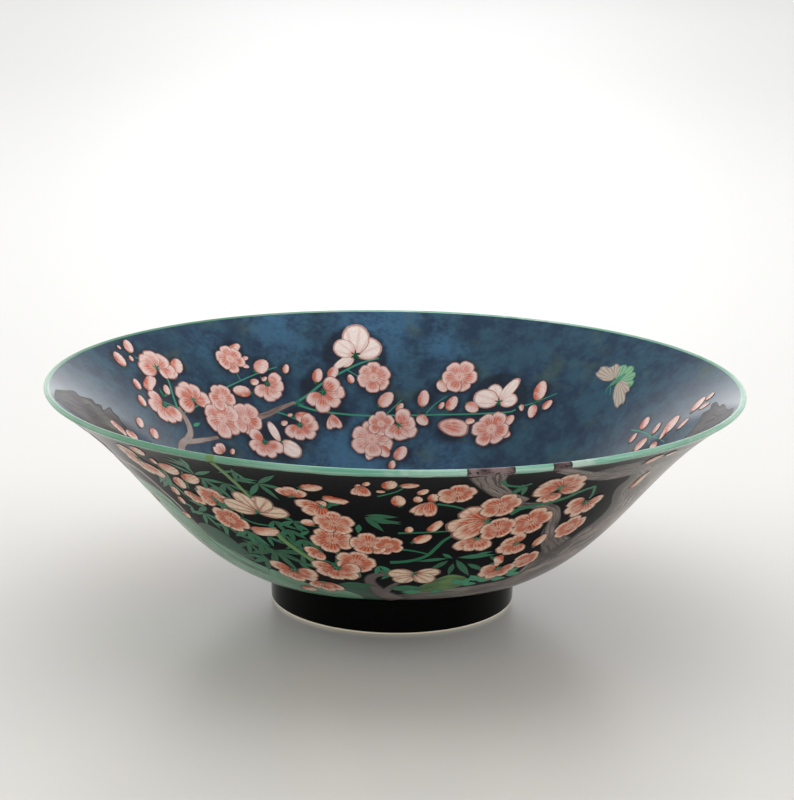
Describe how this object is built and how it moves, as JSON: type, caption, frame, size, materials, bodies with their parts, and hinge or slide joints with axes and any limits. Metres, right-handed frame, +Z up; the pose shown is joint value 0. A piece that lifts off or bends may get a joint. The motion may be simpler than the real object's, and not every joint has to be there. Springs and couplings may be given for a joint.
{
  "type": "porcelain bowl",
  "caption": "Wide flared porcelain bowl on a low turned foot, with dark enamel grounds, a green rim and raised blossom, bamboo, rock and butterfly enamels.",
  "frame": {"origin": "centre of the plane that the foot stands on", "axes": "+Z up along the bowl's turned axis; -Y is the side that faces the viewer, with the green rocks to its left and the tree trunk to its right"},
  "size_m": [0.2514, 0.2514, 0.0828],
  "materials": {
    "porcelain": "unglazed biscuit at the foot edge, hidden under enamel elsewhere",
    "clear_glaze": "clear glossy glaze over white porcelain",
    "night_enamel": "glossy mottled night-blue enamel ground",
    "black_enamel": "glossy near-black enamel ground",
    "green_enamel": "glossy translucent green enamel, thinner on the lip",
    "aubergine_enamel": "glossy aubergine-grey enamel with dark brush grain",
    "rock_enamel": "glossy pale green enamel over dark outlines",
    "bamboo_enamel": "glossy yellow-green enamel",
    "leaf_enamel": "glossy emerald enamel",
    "moss_enamel": "glossy yellow-green enamel",
    "coral_enamel": "coral-red enamel shading to pale pink at the petal edges",
    "white_enamel": "pale pink-white enamel with fine red veins",
    "wing_enamel": "grey-beige enamel with dark ribs"
  },
  "bodies": {
    "root": {"porcelain_wall": "porcelain", "foot_ring": "porcelain", "inside_enamel": "night_enamel", "outside_enamel": "black_enamel", "foot_enamel": "black_enamel", "underside_glaze": "clear_glaze", "rim_green_left": "green_enamel", "rim_green_front": "green_enamel", "rim_green_short": "green_enamel", "rim_trunk_wide": "aubergine_enamel", "rim_trunk_narrow": "aubergine_enamel", "rim_bamboo_tip": "bamboo_enamel", "trunk_enamel": "aubergine_enamel", "rim_branch_enamel": "aubergine_enamel", "rock_enamel": "rock_enamel", "bamboo_upper_enamel": "bamboo_enamel", "bamboo_lower_enamel": "bamboo_enamel", "moss_enamel": "moss_enamel", "branch_stub_enamel": "aubergine_enamel", "outside_blossom_1": "coral_enamel", "outside_blossom_2": "coral_enamel", "outside_blossom_3": "white_enamel", "outside_blossom_4": "coral_enamel", "outside_blossom_5": "coral_enamel", "outside_blossom_6": "coral_enamel", "outside_blossom_7": "coral_enamel", "outside_blossom_8": "white_enamel", "outside_blossom_9": "coral_enamel", "outside_blossom_10": "coral_enamel", "outside_blossom_11": "coral_enamel", "outside_blossom_12": "coral_enamel", "outside_blossom_13": "coral_enamel", "bamboo_leaves_1": "leaf_enamel", "bamboo_leaves_2": "leaf_enamel", "bamboo_leaves_3": "leaf_enamel", "bamboo_leaves_4": "leaf_enamel", "inside_branch_left": "aubergine_enamel", "inside_branch_middle": "aubergine_enamel", "inside_blossom_1": "white_enamel", "inside_blossom_2": "coral_enamel", "inside_blossom_3": "coral_enamel", "inside_blossom_4": "coral_enamel", "inside_blossom_5": "white_enamel", "inside_blossom_6": "coral_enamel", "inside_blossom_7": "coral_enamel", "inside_blossom_8": "coral_enamel", "inside_blossom_9": "white_enamel", "inside_blossom_10": "coral_enamel", "butterfly_wing_left": "wing_enamel", "butterfly_wing_right": "wing_enamel", "butterfly_hind_wing_left": "rock_enamel", "butterfly_hind_wing_right": "rock_enamel"}
  },
  "joints": []
}
